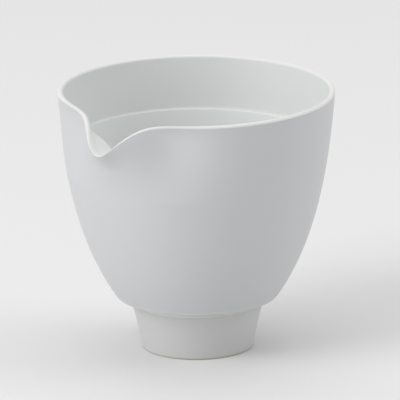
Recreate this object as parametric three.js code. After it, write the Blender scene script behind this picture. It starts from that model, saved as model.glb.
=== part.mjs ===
// A one-handed porcelain pourer: an open cup-shaped bowl with a pulled pouring lip, on a tall hollow foot.
// Millimetres, +Z up. The lip points along -Y, and the box round the whole piece is centred on the origin,
// with the foot standing on z = 0.

import * as THREE from 'three';

// Whole vessel
const rimRadius = 45;
const vesselHeight = 85.3;

// Outer wall of the bowl
const baseRadius = 25.9;
const baseFlare = THREE.MathUtils.degToRad(33.4);
const baseHandle = 17;
const rimFlare = THREE.MathUtils.degToRad(4.9);
const rimHandle = 31;
const baseEdge = 1.5;

// Wall thicknesses, the measuring step inside and the floor
const lipThickness = 1.8;
const wallThickness = 3;
const stepDepth = 17.2;
const floorThickness = 3.6;
const floorStart = 11;

// Foot
const footHeight = 16.8;
const footTopRadius = 21.4;
const footBottomRadius = 18.2;
const footWaist = 0.5;
const footWall = 2.6;
const footShoulder = 1.8;
const footNeckInset = 0.8;
const footChamfer = 0.5;

// Pulled lip: how far its tip stands out and hangs down, and the hollows pressed in at its two flanks
const tipReach = 4.8;
const tipDrop = 10;
const tipHalfAngle = 0.168;
const tipDropAngle = 0.153;
const tipDropPower = 1.42;
const flankInset = 1.85;
const flankAngle = 0.334;
const flankWidth = 0.5;
const rimSag = 1.1;
const rimSagAngle = 0.73;
const pullPower = 1.3;

// Facets
const bowlSegments = 96;
const footSegments = 64;
const lipGathering = 0.45;

const stepHeight = vesselHeight - stepDepth;
const floorHeight = footHeight + floorThickness;
const lipRound = lipThickness / 2;
const wallTop = vesselHeight - lipRound;

const glaze = new THREE.MeshStandardMaterial({ color: 0xdfe2e4, roughness: 0.42, metalness: 0 });
const footGlaze = new THREE.MeshStandardMaterial({ color: 0xdcdfe1, roughness: 0.45, metalness: 0 });

// Outline of the outer wall, from the rounded lower edge up to the lip.
function outerWall() {
  const low = new THREE.Vector2(baseRadius + baseEdge * Math.sin(baseFlare), footHeight + baseEdge * Math.cos(baseFlare));
  const high = new THREE.Vector2(rimRadius, wallTop);
  return new THREE.CubicBezierCurve(
    low,
    new THREE.Vector2(low.x + baseHandle * Math.tan(baseFlare) * 0.94, low.y + baseHandle * 0.94),
    new THREE.Vector2(high.x - rimHandle * Math.tan(rimFlare), high.y - rimHandle),
    high,
  );
}

// Place on a rising curve at a given height, found by halving the interval.
function parameterAt(curve, height) {
  let low = 0;
  let high = 1;
  for (let i = 0; i < 30; i += 1) {
    const middle = (low + high) / 2;
    if (curve.getPoint(middle).y < height) low = middle;
    else high = middle;
  }
  return (low + high) / 2;
}

// Point inside the wall at a given height, with the thickness measured square to the outer face.
function innerPoint(curve, height, thickness) {
  const t = parameterAt(curve, height);
  const tangent = curve.getTangent(t);
  return new THREE.Vector2(curve.getPoint(t).x - thickness / tangent.y, height);
}

// Heights spaced evenly from one level to another, both included.
function levels(from, to, count) {
  return Array.from({ length: count }, (_, i) => THREE.MathUtils.lerp(from, to, i / (count - 1)));
}

// Half-turn of the lip's rounded edge, from the outer face over the top to the inner face.
function lipArc(outer, inner, count) {
  const middle = (outer.x + inner.x) / 2;
  const half = (outer.x - inner.x) / 2;
  const points = [];
  for (let i = 1; i < count; i += 1) {
    const angle = (Math.PI * i) / count;
    points.push(new THREE.Vector2(middle + half * Math.cos(angle), outer.y + lipRound * Math.sin(angle)));
  }
  return points;
}

// Closed half-section of the bowl: underside, rounded lower edge, outer wall, lip, inner wall with its step, floor.
function bowlProfile() {
  const wall = outerWall();
  const edge = new THREE.QuadraticBezierCurve(
    new THREE.Vector2(baseRadius - baseEdge, footHeight),
    new THREE.Vector2(baseRadius, footHeight),
    wall.getPoint(0),
  );
  const upper = levels(wallTop, stepHeight, 5).map((z) => innerPoint(wall, z, lipThickness));
  const lower = levels(stepHeight, footHeight + floorStart, 5).map((z) => innerPoint(wall, z, wallThickness));
  const last = lower[lower.length - 1];
  const lean = wall.getTangent(parameterAt(wall, last.y));
  const corner = last.x - ((last.y - floorHeight) * lean.x) / lean.y;
  const floor = new THREE.QuadraticBezierCurve(
    last,
    new THREE.Vector2(corner, floorHeight),
    new THREE.Vector2(0, floorHeight),
  );
  return [
    new THREE.Vector2(0, footHeight),
    ...edge.getPoints(3),
    ...levels(wall.getPoint(0).y, stepHeight, 8).slice(1).map((z) => innerPoint(wall, z, 0)),
    ...levels(stepHeight, wallTop, 6).slice(1).map((z) => innerPoint(wall, z, 0)),
    ...lipArc(new THREE.Vector2(rimRadius, wallTop), upper[0], 4),
    ...upper,
    ...lower,
    ...floor.getPoints(5).slice(1),
  ];
}

// Gathers a lathed body's segments towards the lip, so that they are finest where the shape turns most.
function gatherAngle(angle) {
  return angle - lipGathering * Math.sin(angle);
}

// A rounded bump of height 1 at zero, falling off to both sides.
function bump(x, power) {
  return Math.exp(-(Math.abs(x) ** power));
}

// How the lip is pulled: out at the tip, in at both flanks, down at the tip and a little along the near rim.
function pullLip(geometry) {
  const position = geometry.attributes.position;
  const flank = (angle) => flankInset * bump((Math.abs(angle) - flankAngle) / flankWidth, 2);
  for (let i = 0; i < position.count; i += 1) {
    const x = position.getX(i);
    const y = position.getY(i);
    const z = position.getZ(i);
    const radius = Math.hypot(x, y);
    const angle = gatherAngle(Math.atan2(x, -y));
    const rise = Math.max(0, (z - stepHeight) / stepDepth);
    const out = (tipReach + flank(0)) * bump(angle / tipHalfAngle, 2) - flank(angle);
    const down = tipDrop * bump(angle / tipDropAngle, tipDropPower) + rimSag * bump(angle / rimSagAngle, 2);
    const moved = radius + out * THREE.MathUtils.smoothstep(rise, 0, 1);
    position.setXYZ(i, moved * Math.sin(angle), -moved * Math.cos(angle), z - down * rise ** pullPower);
  }
  geometry.computeVertexNormals();
  return geometry;
}

function makeBowl() {
  const geometry = new THREE.LatheGeometry(bowlProfile(), bowlSegments).rotateX(Math.PI / 2);
  const mesh = new THREE.Mesh(pullLip(geometry), glaze);
  mesh.name = 'bowl';
  return mesh;
}

// Closed section of the hollow foot, drawn in at the neck under the bowl and spreading a little at the shoulder.
function footProfile() {
  const shoulderHeight = footHeight - footShoulder;
  const side = new THREE.QuadraticBezierCurve(
    new THREE.Vector2(footBottomRadius, footChamfer),
    new THREE.Vector2((footBottomRadius + footTopRadius) / 2 - footWaist, shoulderHeight / 2),
    new THREE.Vector2(footTopRadius, shoulderHeight),
  );
  const neck = footTopRadius - footNeckInset;
  const outside = [
    new THREE.Vector2(footBottomRadius - footChamfer, 0),
    ...side.getPoints(5),
    new THREE.Vector2(footTopRadius - footNeckInset * 0.3, shoulderHeight + footShoulder * 0.4),
    new THREE.Vector2(neck, footHeight),
  ];
  const inside = [
    new THREE.Vector2(neck - footWall, footHeight),
    new THREE.Vector2(footBottomRadius - footWall, footChamfer),
    new THREE.Vector2(footBottomRadius - footWall + footChamfer, 0),
  ];
  return [...outside, ...inside, outside[0].clone()];
}

function makeFootRing() {
  const geometry = new THREE.LatheGeometry(footProfile(), footSegments).rotateX(Math.PI / 2);
  const mesh = new THREE.Mesh(geometry, footGlaze);
  mesh.name = 'foot_ring';
  return mesh;
}

const pourer = new THREE.Group();
pourer.add(makeBowl(), makeFootRing());
pourer.position.y = tipReach / 2;

export default pourer;
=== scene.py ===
"""A porcelain pourer with a pulled lip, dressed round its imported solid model. Metres, +Z up, the lip points along -Y."""

import math

import bpy
import numpy as np
from bpy.props import FloatProperty, FloatVectorProperty, IntProperty, PointerProperty
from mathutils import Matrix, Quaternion, Vector


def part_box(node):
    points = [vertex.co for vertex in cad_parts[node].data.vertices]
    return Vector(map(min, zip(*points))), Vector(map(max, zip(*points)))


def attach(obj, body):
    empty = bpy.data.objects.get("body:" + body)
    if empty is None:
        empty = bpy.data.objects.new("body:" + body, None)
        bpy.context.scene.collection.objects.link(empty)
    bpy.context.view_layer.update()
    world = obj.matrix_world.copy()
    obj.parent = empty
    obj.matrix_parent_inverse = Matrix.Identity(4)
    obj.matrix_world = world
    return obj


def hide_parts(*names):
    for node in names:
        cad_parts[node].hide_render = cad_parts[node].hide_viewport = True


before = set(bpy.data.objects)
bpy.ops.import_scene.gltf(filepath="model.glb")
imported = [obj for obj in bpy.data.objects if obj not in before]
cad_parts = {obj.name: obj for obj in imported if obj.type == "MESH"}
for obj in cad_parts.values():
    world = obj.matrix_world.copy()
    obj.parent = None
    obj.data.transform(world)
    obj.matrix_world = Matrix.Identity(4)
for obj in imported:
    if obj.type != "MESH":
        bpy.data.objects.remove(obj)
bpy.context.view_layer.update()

bl_info = {
    "name": "Lipped porcelain pourer",
    "version": (1, 0, 0),
    "blender": (4, 5, 0),
    "location": "3D View > Sidebar > Pourer",
    "description": "Builds a lipped porcelain pourer, its foot and a plain studio stage",
    "category": "Add Mesh",
}

MM = 0.001
BOWL_LOW, BOWL_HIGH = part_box("bowl")
FOOT_LOW, FOOT_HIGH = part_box("foot_ring")
RIM_RADIUS = (BOWL_HIGH.x - BOWL_LOW.x) / 2
AXIS_Y = BOWL_HIGH.y - RIM_RADIUS
TIP_REACH = AXIS_Y - BOWL_LOW.y - RIM_RADIUS


def length(name, text, default):
    """A size property in metres."""
    return FloatProperty(name=name, description=text, default=default, subtype="DISTANCE", unit="LENGTH", precision=5)


def angle(name, text, default):
    """An angle property in radians."""
    return FloatProperty(name=name, description=text, default=default, subtype="ANGLE", unit="ROTATION")


def factor(name, text, default):
    """A plain number property."""
    return FloatProperty(name=name, description=text, default=default)


def power(name, text, default):
    """A lamp's power in watts."""
    return FloatProperty(name=name, description=text, default=default, unit="POWER")


def colour(name, text, default):
    """A colour property."""
    return FloatVectorProperty(name=name, description=text, default=default, subtype="COLOR", size=3, min=0, max=1)


class BowlSizes(bpy.types.PropertyGroup):
    """Sizes of the bowl and of its pulled lip."""

    rim_radius: length("Rim radius", "Outer radius of the rim away from the lip", RIM_RADIUS)
    height: length("Height", "Height of the rim over the table", BOWL_HIGH.z)
    underside: length("Underside", "Height of the bowl's flat underside", BOWL_LOW.z)
    base_radius: length("Base radius", "Radius where the wall's line meets the underside", 25.9 * MM)
    base_flare: angle("Base flare", "Lean of the wall at its lower edge", math.radians(33.4))
    base_handle: length("Base handle", "How far the wall keeps its lean at the base", 15.98 * MM)
    rim_flare: angle("Rim flare", "Lean of the wall at the rim", math.radians(4.9))
    rim_handle: length("Rim handle", "How far the wall keeps its lean at the rim", 31 * MM)
    base_edge: length("Base edge", "Size of the rounded lower edge", 1.5 * MM)
    lip_wall: length("Lip wall", "Wall over the inner step", 1.8 * MM)
    wall: length("Wall", "Wall under the inner step", 3.0 * MM)
    step_depth: length("Step depth", "How far the inner step lies below the rim", 17.2 * MM)
    pull_depth: length("Pull depth", "How far down the wall is pulled out, outside", 26 * MM)
    trough_depth: length("Trough depth", "How far down the wall is pulled out, inside", 8 * MM)
    hollow: length("Hollow", "Depth of the hollows under the rim beside the lip", 2.6 * MM)
    cheek: length("Cheek", "How far the wall swells inwards at each side of the trough", 3.6 * MM)
    step_round: length("Step rounding", "Rounding of the inner step", 0.35 * MM)
    floor: length("Floor", "Thickness of the bowl's floor", 3.6 * MM)
    floor_start: length("Floor start", "Height over the underside where the floor's curve starts", 11 * MM)
    tip_reach: length("Tip reach", "How far the lip's tip stands out", TIP_REACH)
    tip_drop: length("Tip drop", "How far the lip's tip hangs down", 10 * MM)
    flank_inset: length("Flank inset", "Depth of the hollows beside the lip", 1.85 * MM)
    rim_sag: length("Rim sag", "Fall of the near rim towards the lip", 1.1 * MM)
    segments: IntProperty(name="Segments", description="Faces round the bowl", default=384, min=24)


class FootSizes(bpy.types.PropertyGroup):
    """Sizes of the hollow foot."""

    top_radius: length("Top radius", "Radius at the foot's shoulder", (FOOT_HIGH.x - FOOT_LOW.x) / 2)
    bottom_radius: length("Bottom radius", "Radius where the foot stands", 18.2 * MM)
    height: length("Height", "Height of the foot", FOOT_HIGH.z)
    waist: length("Waist", "How far the side is drawn in", 0.5 * MM)
    wall: length("Wall", "Thickness of the foot's wall", 2.6 * MM)
    shoulder: length("Shoulder", "Height of the neck over the shoulder", 1.8 * MM)
    neck_inset: length("Neck inset", "How far the neck is drawn in", 0.8 * MM)
    chamfer: length("Chamfer", "Rounding of the standing edge", 0.5 * MM)
    segments: IntProperty(name="Segments", description="Faces round the foot", default=288, min=24)


class GlazeLook(bpy.types.PropertyGroup):
    """Colours of the glaze, of its copies painted paler inside and darker on the foot as painted light and shade, and
    of the bare clay.
    """

    body: colour("Glaze", "Pale grey glaze outside", (0.596, 0.600, 0.610))
    # Painted light: a copy of the outside glaze, painted paler to stand in for the brighter light inside the bowl.
    inner: colour("Inner glaze", "Thicker, paler glaze inside the bowl", (0.728, 0.738, 0.735))
    # Painted light with a real tint: under the inner step, a faint bluer pooled tone, painted paler for the light
    # there.
    pool: colour("Pooled glaze", "Glaze under the inner step", (0.785, 0.805, 0.802))
    # Painted shade: a copy of the outside glaze, painted a little darker for the shade beside the floor.
    foot: colour("Foot glaze", "Glaze on the foot", (0.588, 0.591, 0.587))
    # Partly painted highlight: thin glaze whitens the edges, and the same white paints the highlights on the lip, the
    # inner step and the foot's shoulder.
    thin: colour("Thin glaze", "White where the glaze runs thin on an edge", (0.83, 0.825, 0.805))
    # Partly painted shadow: the unglazed standing edge, painted dark brown to stand in for the contact shadow too.
    clay: colour("Bare clay", "Unglazed standing edge", (0.50, 0.46, 0.41))
    roughness: factor("Roughness", "Roughness of the satin glaze", 0.42)


class StageLook(bpy.types.PropertyGroup):
    """Camera, lamps and floor."""

    azimuth: angle("Azimuth", "Turn of the camera round the pourer, from -Y", 0.681)
    elevation: angle("Elevation", "Height of the camera over the horizon", 0.277)
    distance: length("Distance", "Camera distance", 2.5827)
    aim_height: length("Aim height", "Height that the camera looks at", 48.45 * MM)
    aim_side: length("Aim side", "Sideways place that the camera looks at", 1.15 * MM)
    lens: FloatProperty(name="Lens", description="Focal length in millimetres", default=720, unit="CAMERA")
    roll: angle("Roll", "Tilt of the camera about its view line", -0.010)
    key_power: power("Key power", "Power of the lamp at the left, in front", 7.9)
    high_power: power("High power", "Power of the high lamp at the left", 5.2)
    right_power: power("Right power", "Power of the lamp at the right", 4.2)
    top_power: power("Top power", "Power of the wide lamp overhead", 8.2)
    sky: factor("Sky", "Even light from all round", 0.47)
    floor: colour("Floor", "Pale floor", (0.80, 0.80, 0.80))
    backdrop: colour("Backdrop", "Pale surround that the camera sees", (0.76, 0.76, 0.76))


# Curves and profiles


def bezier(points, count):
    """Points of a Bezier curve: control points are blended pair by pair until one is left for each parameter."""
    t = np.linspace(0.0, 1.0, count)[:, None, None]
    level = np.repeat(np.asarray(points, float)[None], count, axis=0)
    while level.shape[1] > 1:
        level = level[:, :-1] * (1 - t) + level[:, 1:] * t
    return level[:, 0]


def outer_wall(s, count=600):
    """The outer wall: a cubic from the rounded lower edge, leaning base_flare, to the rim, leaning rim_flare."""
    low = np.array([s.base_radius + s.base_edge * math.sin(s.base_flare), s.underside + s.base_edge * math.cos(s.base_flare)])
    high = np.array([s.rim_radius, s.height - s.lip_wall / 2])
    first = low + s.base_handle * np.array([math.tan(s.base_flare), 1.0])
    second = high - s.rim_handle * np.array([math.tan(s.rim_flare), 1.0])
    return bezier([low, first, second, high], count)


def inside(wall, z, thickness):
    """Points at heights z, moved in from the outer wall by thickness / cosine of the wall's lean."""
    slope = np.gradient(wall[:, 0], wall[:, 1])
    lean = np.interp(z, wall[:, 1], slope)
    return np.column_stack([np.interp(z, wall[:, 1], wall[:, 0]) - thickness * np.sqrt(1 + lean**2), z])


def lip_arc(outer, inner, rise, count):
    """Half an ellipse over the lip, from its outer to its inner edge."""
    turn = np.linspace(0.0, math.pi, count)
    middle, half = (outer + inner) / 2, (outer[0] - inner[0]) / 2
    return np.column_stack([middle[0] + half * np.cos(turn), outer[1] + rise * np.sin(turn)])


def bowl_profile(s):
    """Half-section of the bowl from the axis under it, up the outer wall, over the lip and down inside to the axis.

    Returns the points, how thin the glaze lies on each, which also paints highlights (most on the lip and the step,
    less on the lower edge), whether each is inside (1) or outside (0), where inside takes the glaze painted paler, and
    whether it is inside under the step, painted paler still."""
    wall = outer_wall(s)
    step, top = s.height - s.step_depth, s.height - s.lip_wall / 2
    flat = np.column_stack([np.linspace(0, s.base_radius - s.base_edge, 14), np.full(14, s.underside)])
    edge = bezier([flat[-1], [s.base_radius, s.underside], wall[0]], 9)[1:]
    outside = inside(wall, np.linspace(wall[0, 1], top, 84)[1:], 0.0)
    upper = inside(wall, np.linspace(top, step + s.step_round, 24), s.lip_wall)
    lip = lip_arc(outside[-1], upper[0], s.lip_wall / 2, 15)[1:-1]
    lower = inside(wall, np.linspace(step - s.step_round, s.underside + s.floor_start, 44), s.wall)
    above = inside(wall, np.array([step]), s.lip_wall)[0]
    below = inside(wall, np.array([step]), s.wall)[0]
    flat_step = np.array([s.step_round, 0.0])
    hollow = bezier([upper[-1], above, above - flat_step], 5)[1:]
    brink = bezier([below + flat_step, below, lower[0]], 6)[:-1]
    fall = lower[-1] - lower[-2]
    bed = s.underside + s.floor
    corner = lower[-1] + fall * (bed - lower[-1][1]) / fall[1]
    floor = bezier([lower[-1], corner, [0.0, bed]], 40)[1:]
    # Thin-glaze white also paints highlights: 0.7 on the lip, 1.0 on the inner step's edge.
    outer_parts = [(flat, 0.0), (edge, 0.15), (outside, 0.0), (lip, 0.7)]
    inner_parts = [(upper, 0.0), (hollow, 0.0), (brink, 1.0), (lower, 0.0), (floor, 0.0)]
    points = np.vstack([p for p, _ in outer_parts + inner_parts])
    thin = np.concatenate([np.full(len(p), t) for p, t in outer_parts + inner_parts])
    # Inside points shape the trough and take the glaze painted paler as painted light.
    within = np.arange(len(points)) >= sum(len(p) for p, _ in outer_parts)
    # Inside under the step, where the glaze is painted paler still as painted light, with a faint pooled tint.
    pool = within & (points[:, 1] < step)
    return points, thin, within.astype(float), pool.astype(float)


def foot_profile(s):
    """Closed half-section of the hollow foot: standing edge, flared side, shoulder, neck and the hollow inside."""
    shoulder = s.height - s.shoulder
    neck = s.top_radius - s.neck_inset
    middle = [(s.bottom_radius + s.top_radius) / 2 - s.waist, shoulder / 2]
    side = bezier([[s.bottom_radius, s.chamfer], middle, [s.top_radius, shoulder]], 26)
    heel = bezier([[s.bottom_radius - s.chamfer, 0], [s.bottom_radius, 0], side[0]], 6)[:-1]
    bend = bezier([side[-1], [s.top_radius, shoulder + s.shoulder * 0.5], [neck, s.height]], 8)[1:]
    inner = s.bottom_radius - s.wall
    ceiling = np.array([[neck - s.wall, s.height]])
    bore = np.column_stack([np.linspace(neck - s.wall, inner, 22)[1:], np.linspace(s.height, s.chamfer, 22)[1:]])
    toe = bezier([bore[-1], [inner, 0], [inner + s.chamfer, 0]], 6)[1:]
    # The shoulder's 0.7 is thin glaze and also a painted highlight where light catches it.
    parts = [(heel, 0.0), (side, 0.0), (bend, 0.7), (ceiling, 0.0), (bore, 0.0), (toe, 0.0)]
    points = np.vstack([p for p, _ in parts])
    thin = np.concatenate([np.full(len(p), t) for p, t in parts])
    return points, thin


# The pulled lip

TIP_HALF_ANGLE = 0.168
TIP_DROP_ANGLE = 0.153
TIP_DROP_POWER = 1.42
FLANK_ANGLE = 0.334
FLANK_WIDTH = 0.5
FLANK_DRIFT = 0.15
TIP_SPREAD = 2.4
TIP_ROUND = 0.03
HOLLOW_ANGLE = 0.48
HOLLOW_WIDTH = 0.26
HOLLOW_HEIGHT = 0.58
CHEEK_ANGLE = 0.11
CHEEK_WIDTH = 0.15
CHEEK_HEIGHT = 0.7
RIM_SAG_ANGLE = 0.73
PULL_POWER = 1.3
LIP_GATHERING = 0.45


def bump(x, power=2.0):
    """A bump of height 1 at zero: e to the minus |x| to the power."""
    return np.exp(-np.abs(x) ** power)


def gathered_angles(count):
    """Angles round the bowl, closer together at the lip: a - g sin a for even a."""
    even = np.linspace(-math.pi, math.pi, count, endpoint=False)
    return even - LIP_GATHERING * np.sin(even)


def pull(radius, z, turn, within, s):
    """Moves the wall near the lip: out at the tip, in at both flanks, down at the tip and a little beside it.

    The drop ends at the inner step. Outside, the swelling goes deeper, and gets wider and fainter as it goes;
    within the bowl it ends sooner, so that the trough has a sloping floor."""
    depth = s.height - z
    rise = np.clip(1 - depth / s.step_depth, 0, 1)
    swell = np.clip(1 - depth / np.where(within > 0, s.trough_depth, s.pull_depth), 0, 1)
    away = np.sqrt(turn**2 + TIP_ROUND**2) - TIP_ROUND
    flank_angle = FLANK_ANGLE + FLANK_DRIFT * (1 - swell)
    half_angle = TIP_HALF_ANGLE * (1 + TIP_SPREAD * (1 - swell))
    flank = s.flank_inset * bump((np.abs(turn) - flank_angle) / FLANK_WIDTH)
    middle = s.flank_inset * bump(flank_angle / FLANK_WIDTH)
    out = (s.tip_reach + middle) * bump(away / half_angle) - flank
    down = s.tip_drop * bump(away / TIP_DROP_ANGLE, TIP_DROP_POWER) + s.rim_sag * bump(turn / RIM_SAG_ANGLE)
    press = np.sin(math.pi * np.clip(depth / s.pull_depth, 0, 1) ** HOLLOW_HEIGHT)
    hollow = s.hollow * bump((np.abs(turn) - HOLLOW_ANGLE) / HOLLOW_WIDTH) * press
    below = np.clip(depth / s.step_depth, 0, 1)
    cheek = s.cheek * bump((np.abs(turn) - CHEEK_ANGLE) / CHEEK_WIDTH) * np.sin(math.pi * below ** CHEEK_HEIGHT) ** 2
    radius = radius + out * swell * swell * (3 - 2 * swell) - hollow - cheek * within
    return radius, z - down * rise**PULL_POWER


# Meshes


def revolve(points, turns, closed, bend=None):
    """Surface of revolution about the vessel's axis: radius r and height z of each profile point, at each angle a,
    give x = r sin a, y = -r cos a, z. bend may move r and z. An open profile starts and ends on the axis in one
    vertex each; a closed one joins its last point to its first."""
    rows = points if closed else points[1:-1]
    radius = np.repeat(rows[:, :1], len(turns), axis=1)
    z = np.repeat(rows[:, 1:], len(turns), axis=1)
    turn = np.broadcast_to(turns, radius.shape)
    if bend:
        radius, z = bend(radius, z, turn)
    grid = np.stack([radius * np.sin(turn), AXIS_Y - radius * np.cos(turn), z], axis=-1).reshape(-1, 3)
    count, around = radius.shape
    index = np.arange(count * around).reshape(count, around)
    low = index if closed else index[:-1]
    high = np.roll(index, -1, axis=0) if closed else index[1:]
    quads = np.stack([low, np.roll(low, -1, 1), np.roll(high, -1, 1), high], axis=-1).reshape(-1, 4)
    faces = quads.tolist()
    if not closed:
        poles = np.array([[0, AXIS_Y, points[0, 1]], [0, AXIS_Y, points[-1, 1]]])
        grid = np.vstack([grid, poles])
        first, last = len(grid) - 2, len(grid) - 1
        ring, end = index[0], index[-1]
        faces += np.column_stack([np.full(around, first), np.roll(ring, -1), ring]).tolist()
        faces += np.column_stack([end, np.roll(end, -1), np.full(around, last)]).tolist()
    return grid, faces


def add_piece(name, grid, faces, measures):
    """A smooth mesh object with one point attribute for each named measure."""
    mesh = bpy.data.meshes.new(name)
    mesh.from_pydata(grid.tolist(), [], faces)
    for key, values in measures.items():
        mesh.attributes.new(key, "FLOAT", "POINT").data.foreach_set("value", values.astype(np.float32))
    mesh.shade_smooth()
    mesh.validate()
    piece = bpy.data.objects.new(name, mesh)
    bpy.context.scene.collection.objects.link(piece)
    return piece


# Shader values


class Value:
    """A socket of a node tree. Sums and products with it add Math nodes."""

    def __init__(self, socket):
        self.socket = socket

    def _math(self, operation, first, second):
        return Tree(self.socket.id_data).node("ShaderNodeMath", {"operation": operation}, {0: first, 1: second})

    def __add__(self, other):
        return self._math("ADD", self, other)

    def __sub__(self, other):
        return self._math("SUBTRACT", self, other)

    def __rsub__(self, other):
        return self._math("SUBTRACT", other, self)

    def __mul__(self, other):
        return self._math("MULTIPLY", self, other)

    __radd__ = __add__
    __rmul__ = __mul__


class Tree:
    """Adds nodes to a node tree."""

    def __init__(self, tree):
        self.tree = tree

    def node(self, kind, settings=None, inputs=None, output=0):
        """A new node of that kind: its settings first, then the value or link of each named input socket."""
        made = self.tree.nodes.new(kind)
        for key, setting in (settings or {}).items():
            setattr(made, key, setting)
        for key, value in (inputs or {}).items():
            if isinstance(value, Value):
                self.tree.links.new(value.socket, made.inputs[key])
            else:
                made.inputs[key].default_value = value
        return Value(made.outputs[output]) if made.outputs else None

    def mix(self, amount, first, second):
        """first where amount is 0, second where it is 1, as a colour."""
        made = self.tree.nodes.new("ShaderNodeMix")
        made.data_type = "RGBA"
        for slot, value in ((made.inputs["Factor"], amount), (made.inputs[6], first), (made.inputs[7], second)):
            if isinstance(value, Value):
                self.tree.links.new(value.socket, slot)
            else:
                slot.default_value = value
        return Value(made.outputs[2])


def new_material(name):
    """An empty node material and its tree."""
    material = bpy.data.materials.new(name)
    material.use_nodes = True
    material.node_tree.nodes.clear()
    return material, Tree(material.node_tree)


def rgba(values):
    """A colour with full opacity."""
    return (*values, 1.0)


CLOUD_SCALE = 26.0
CLOUD_COLOUR = (0.42, 0.46, 0.46)
GRAIN_SCALE = 900.0
SWELL_SCALE = 60.0


def glaze_material(name, look, outer, bare_edge_and_contact_shade=False):
    """Satin porcelain glaze: white where it lies thin and as painted highlight on edges, paler inside and under the
    step as painted light, faint clouds in its tone, a slight swell and fine grain.
    """
    material, tree = new_material(name)
    place = tree.node("ShaderNodeTexCoord", output="Object")
    thin = tree.node("ShaderNodeAttribute", {"attribute_name": "thin_glaze"}, output="Fac")
    cloud = tree.node("ShaderNodeTexNoise", None, {"Vector": place, "Scale": CLOUD_SCALE, "Detail": 3.0})
    grain = tree.node("ShaderNodeTexNoise", None, {"Vector": place, "Scale": GRAIN_SCALE, "Detail": 2.0})
    swell = tree.node("ShaderNodeTexNoise", None, {"Vector": place, "Scale": SWELL_SCALE, "Detail": 1.0})
    # Mask of the inside, where the glaze is painted paler as painted light.
    within = tree.node("ShaderNodeAttribute", {"attribute_name": "inner_glaze"}, output="Fac")
    # Mask under the inner step: painted light with a faint pooled tint.
    pool = tree.node("ShaderNodeAttribute", {"attribute_name": "pool_glaze"}, output="Fac")
    plain = tree.mix(within, rgba(outer), tree.mix(pool, rgba(look.inner), rgba(look.pool)))
    glaze = tree.mix(cloud * 0.04, plain, rgba(CLOUD_COLOUR))
    # Thin glaze white, which also paints the edge highlights.
    base = tree.mix(thin, glaze, rgba(look.thin))
    rough = look.roughness - 0.03 + cloud * 0.06 + thin * 0.08
    # Standing edge under 0.5 mm: bare clay, also painted dark as the contact shadow.
    if bare_edge_and_contact_shade:
        height = tree.node("ShaderNodeSeparateXYZ", None, {"Vector": place}, output="Z")
        bare = tree.node("ShaderNodeMath", {"operation": "LESS_THAN"}, {0: height, 1: 0.5 * MM})
        base = tree.mix(bare, base, rgba(look.clay))
        rough = rough + bare * 0.4
    relief = swell * 0.6 + grain * 0.06
    normal = tree.node("ShaderNodeBump", None, {"Height": relief, "Strength": 0.12, "Distance": 0.4 * MM})
    inputs = {"Base Color": base, "Roughness": rough, "Normal": normal, "Specular IOR Level": 0.45}
    shader = tree.node("ShaderNodeBsdfPrincipled", None, inputs)
    tree.node("ShaderNodeOutputMaterial", None, {"Surface": shader})
    return material


def floor_material(look):
    """Matt pale floor, see-through from below so that the underside can be looked at."""
    material, tree = new_material("floor")
    under = tree.node("ShaderNodeNewGeometry", output="Backfacing")
    matt = tree.node("ShaderNodeBsdfDiffuse", None, {"Color": rgba(look.floor)})
    clear = tree.node("ShaderNodeBsdfTransparent")
    surface = tree.node("ShaderNodeMixShader", None, {0: under, 1: matt, 2: clear})
    tree.node("ShaderNodeOutputMaterial", None, {"Surface": surface})
    return material


# Operators


class POURER_OT_bowl(bpy.types.Operator):
    """Makes the bowl with its pulled lip and its inner step"""

    bl_idname = "pourer.bowl"
    bl_label = "Bowl"

    def execute(self, context):
        sizes = context.scene.pourer_bowl
        points, thin, within, pool = bowl_profile(sizes)
        turns = gathered_angles(sizes.segments)
        grid, faces = revolve(points, turns, False, lambda r, z, a: pull(r, z, a, within[1:-1, None], sizes))
        measures = {
            "thin_glaze": np.concatenate([np.repeat(thin[1:-1], len(turns)), [0.0, 0.0]]),
            "inner_glaze": np.concatenate([np.repeat(within[1:-1], len(turns)), [0.0, 1.0]]),
            "pool_glaze": np.concatenate([np.repeat(pool[1:-1], len(turns)), [0.0, 1.0]]),
        }
        look = context.scene.pourer_glaze
        piece = add_piece("glazed_bowl", grid, faces, measures)
        piece.data.materials.append(glaze_material("bowl_glaze", look, look.body))
        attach(piece, "root")
        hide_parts("bowl")
        return {"FINISHED"}


class POURER_OT_foot(bpy.types.Operator):
    """Makes the tall hollow foot"""

    bl_idname = "pourer.foot"
    bl_label = "Foot"

    def execute(self, context):
        sizes = context.scene.pourer_foot
        points, thin = foot_profile(sizes)
        turns = np.linspace(-math.pi, math.pi, sizes.segments, endpoint=False)
        grid, faces = revolve(points, turns, True)
        look = context.scene.pourer_glaze
        piece = add_piece("glazed_foot", grid, faces, {"thin_glaze": np.repeat(thin, len(turns))})
        # The foot takes the copy of the glaze painted darker, as painted shade.
        piece.data.materials.append(glaze_material("foot_glaze", look, look.foot, bare_edge_and_contact_shade=True))
        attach(piece, "root")
        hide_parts("foot_ring")
        return {"FINISHED"}


FLOOR_RADIUS = 6.0
FLOOR_HOLE = 17.4 * MM
FLOOR_SIDES = 96
# Each lamp's width, then its place: to the camera's right, towards the camera and up
LAMPS = {
    "key": (1.2, -1.2, 0.7, 0.5),
    "high": (0.9, -0.9, 0.6, 1.1),
    "right": (0.9, 1.2, 0.0, 0.6),
    "top": (1.8, 0.0, -0.5, 1.5),
}


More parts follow.
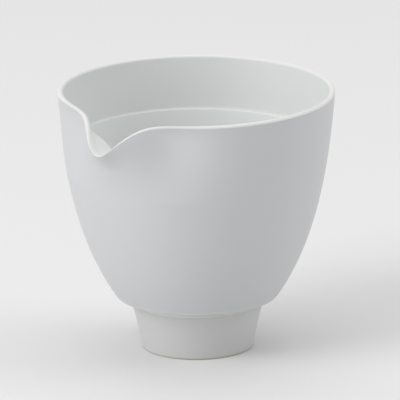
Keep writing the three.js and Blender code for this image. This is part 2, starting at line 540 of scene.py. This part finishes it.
class POURER_OT_stage(bpy.types.Operator):
    """Makes the floor, the lamps, the sky and the camera"""

    bl_idname = "pourer.stage"
    bl_label = "Stage"

    def execute(self, context):
        look = context.scene.pourer_stage
        self.make_floor(look)
        self.make_sky(context.scene, look)
        self.make_camera(context.scene, look)
        for name, (size, side, near, up) in LAMPS.items():
            self.make_lamp(look, name, getattr(look, name + "_power"), size, side, near, up)
        context.scene.view_settings.view_transform = "Standard"
        return {"FINISHED"}

    def directions(self, look):
        """Unit vectors to the camera's right and from the pourer back to the camera, both level."""
        right = Vector((math.cos(look.azimuth), math.sin(look.azimuth), 0))
        back = Vector((math.sin(look.azimuth), -math.cos(look.azimuth), 0))
        return right, back

    def make_floor(self, look):
        """A flat ring, open under the foot's hollow, which lets light in there for a look from below."""
        turns = np.linspace(0, 2 * math.pi, FLOOR_SIDES, endpoint=False)
        ring = np.column_stack([np.sin(turns), -np.cos(turns), np.zeros(FLOOR_SIDES)])
        points = np.vstack([ring * FLOOR_HOLE, ring * FLOOR_RADIUS]) + [0, AXIS_Y, 0]
        inner = np.arange(FLOOR_SIDES)
        outer = inner + FLOOR_SIDES
        faces = np.column_stack([inner, outer, np.roll(outer, -1), np.roll(inner, -1)])
        mesh = bpy.data.meshes.new("floor")
        mesh.from_pydata(points.tolist(), [], faces.tolist())
        mesh.materials.append(floor_material(look))
        floor = bpy.data.objects.new("floor", mesh)
        bpy.context.scene.collection.objects.link(floor)

    def make_sky(self, scene, look):
        """Even light from all round, and the backdrop's colour where the camera or a reflection sees past the floor."""
        world = bpy.data.worlds.new("sky")
        world.use_nodes = True
        world.node_tree.nodes.clear()
        scene.world = world
        tree = Tree(world.node_tree)
        seen = tree.node("ShaderNodeLightPath", output="Is Camera Ray")
        for ray in ("Is Glossy Ray", "Is Transmission Ray"):
            seen = seen + tree.node("ShaderNodeLightPath", output=ray)
        light = tree.node("ShaderNodeBackground", None, {"Color": (1.0, 1.0, 1.0, 1.0), "Strength": look.sky})
        shown = tree.node("ShaderNodeBackground", None, {"Color": rgba(look.backdrop), "Strength": 1.0})
        surface = tree.node("ShaderNodeMixShader", None, {0: seen, 1: light, 2: shown})
        tree.node("ShaderNodeOutputWorld", None, {"Surface": surface})

    def make_camera(self, scene, look):
        right, back = self.directions(look)
        ray = back * math.cos(look.elevation) + Vector((0, 0, math.sin(look.elevation)))
        aim = Vector((0, AXIS_Y, look.aim_height)) + right * look.aim_side
        data = bpy.data.cameras.new("camera")
        data.sensor_width = 36
        data.lens = look.lens
        data.clip_end = 50
        camera = bpy.data.objects.new("camera", data)
        camera.location = aim + ray * look.distance
        camera.rotation_mode = "QUATERNION"
        camera.rotation_quaternion = (-ray).to_track_quat("-Z", "Y") @ Quaternion((0, 0, 1), look.roll)
        scene.collection.objects.link(camera)
        scene.camera = camera

    def make_lamp(self, look, name, power, size, side, near, up):
        """A round soft lamp, placed by its distances to the camera's right, towards the camera and up."""
        right, back = self.directions(look)
        aim = Vector((0, AXIS_Y, look.aim_height))
        place = aim + right * side + back * near + Vector((0, 0, up))
        data = bpy.data.lights.new(name, "AREA")
        data.shape = "DISK"
        data.size = size
        data.energy = power
        lamp = bpy.data.objects.new(name, data)
        lamp.location = place
        lamp.rotation_mode = "QUATERNION"
        lamp.rotation_quaternion = (aim - place).to_track_quat("-Z", "Y")
        bpy.context.scene.collection.objects.link(lamp)


class POURER_PT_panel(bpy.types.Panel):
    """Lists the pourer's pieces and its stage"""

    bl_idname = "POURER_PT_panel"
    bl_label = "Pourer"
    bl_space_type = "VIEW_3D"
    bl_region_type = "UI"
    bl_category = "Pourer"

    def draw(self, context):
        for operator in (POURER_OT_bowl, POURER_OT_foot, POURER_OT_stage):
            self.layout.operator(operator.bl_idname)
        for group in GROUPS:
            box = self.layout.box()
            box.label(text=group)
            settings = getattr(context.scene, group)
            for name in settings.__annotations__:
                box.prop(settings, name)


GROUPS = {
    "pourer_bowl": BowlSizes,
    "pourer_foot": FootSizes,
    "pourer_glaze": GlazeLook,
    "pourer_stage": StageLook,
}
CLASSES = (*GROUPS.values(), POURER_OT_bowl, POURER_OT_foot, POURER_OT_stage, POURER_PT_panel)


def register():
    """Registers the classes and hangs the settings on the scene."""
    for made in CLASSES:
        bpy.utils.register_class(made)
    for name, group in GROUPS.items():
        setattr(bpy.types.Scene, name, PointerProperty(type=group))


def unregister():
    """Takes the settings and the classes away again."""
    for name in GROUPS:
        delattr(bpy.types.Scene, name)
    for made in reversed(CLASSES):
        bpy.utils.unregister_class(made)


def main():
    """Builds the pourer and its stage."""
    register()
    bpy.ops.pourer.stage()
    bpy.ops.pourer.bowl()
    bpy.ops.pourer.foot()


if __name__ == "__main__":
    main()
